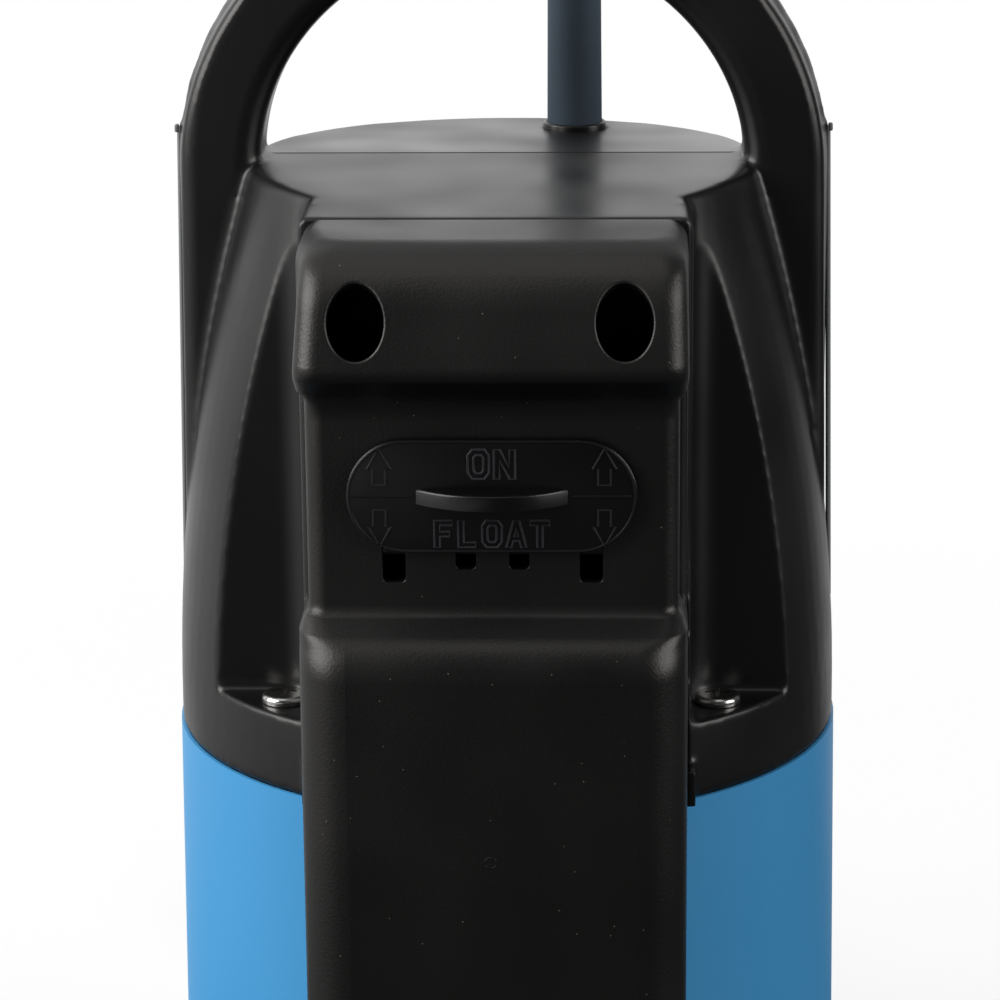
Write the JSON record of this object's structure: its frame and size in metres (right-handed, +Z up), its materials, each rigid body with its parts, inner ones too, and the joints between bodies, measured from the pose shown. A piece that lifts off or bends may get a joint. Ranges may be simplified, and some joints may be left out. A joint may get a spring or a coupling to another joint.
{
  "type": "submersible sump pump",
  "caption": "Upright submersible sump pump with arched carry handle, blue motor jacket, front float chamber with mode slider, strainer foot, rear outlet elbow and coiled mains cord.",
  "frame": {"origin": "on the pump's axis, on the floor plane that the strainer foot stands on", "axes": "+Z up along the motor axis, -Y towards the float cover at the front, +X to the right seen from the front"},
  "size_m": [0.1724, 0.3801, 0.3845],
  "materials": {
    "head_plastic": "satin moulded black",
    "cover_plastic": "fine-grained moulded black",
    "slider_plastic": "satin moulded black",
    "jacket_plastic": "satin moulded blue",
    "casing_plastic": "fibre-filled moulded black",
    "seal_rubber": "moulded rubber",
    "cord_rubber": "extruded rubber sheath",
    "tie_band": "woven hook-and-loop band",
    "stainless": "plain stainless steel",
    "plate_metal": "die-cast",
    "lamination": "stamped electrical steel",
    "winding_copper": "varnished copper wire",
    "capacitor_case": "moulded case",
    "pale_plastic": "natural moulded plastic",
    "switch_plastic": "potted board",
    "lead_insulation": "wire insulation",
    "blade_brass": "stamped brass"
  },
  "bodies": {
    "housing": {"head_cover": "head_plastic", "motor_jacket": "jacket_plastic", "strainer_foot": "casing_plastic", "head_gasket": "seal_rubber", "base_gasket": "seal_rubber", "head_screws": "stainless", "base_screws": "stainless", "float_cover": "cover_plastic", "float_rod": "stainless", "seal_plate": "plate_metal", "shaft_seal": "seal_rubber", "lower_bearing": "stainless", "upper_bearing": "stainless", "upper_bracket": "plate_metal", "motor_can": "stainless", "stator_core": "lamination", "lower_winding": "winding_copper", "upper_winding": "winding_copper", "volute_casing": "casing_plastic", "discharge_elbow": "casing_plastic", "elbow_nut": "casing_plastic", "elbow_gasket": "seal_rubber", "capacitor": "capacitor_case", "capacitor_clip": "stainless", "terminal_block": "pale_plastic", "switch_module": "switch_plastic", "inner_leads": "lead_insulation", "cord_gland": "casing_plastic", "strain_relief": "cord_rubber", "power_cord": "cord_rubber", "cord_coil": "cord_rubber", "cord_tie": "tie_band", "plug": "cord_rubber", "plug_blades": "blade_brass"},
    "rotor": {"motor_shaft": "stainless", "rotor_core": "lamination", "rotor_cage": "plate_metal", "impeller": "pale_plastic", "impeller_nut": "stainless"},
    "float_body": {"float": "pale_plastic", "float_magnet": "lamination"},
    "slider": {"mode_slider": "slider_plastic", "slider_keeper": "slider_plastic", "slider_magnet": "lamination"}
  },
  "joints": [
    {"name": "rotor_spin", "type": "hinge", "parent": "housing", "child": "rotor", "pos_m": [0, 0, 0.1], "axis": [0, 0, 1], "continuous": true},
    {"name": "float_travel", "type": "slide", "parent": "housing", "child": "float_body", "axis": [0, 0, 1], "range_m": [0, 0.062]},
    {"name": "mode_slide", "type": "slide", "parent": "housing", "child": "slider", "axis": [0, 0, 1], "range_m": [-0.0065, 0]}
  ]
}
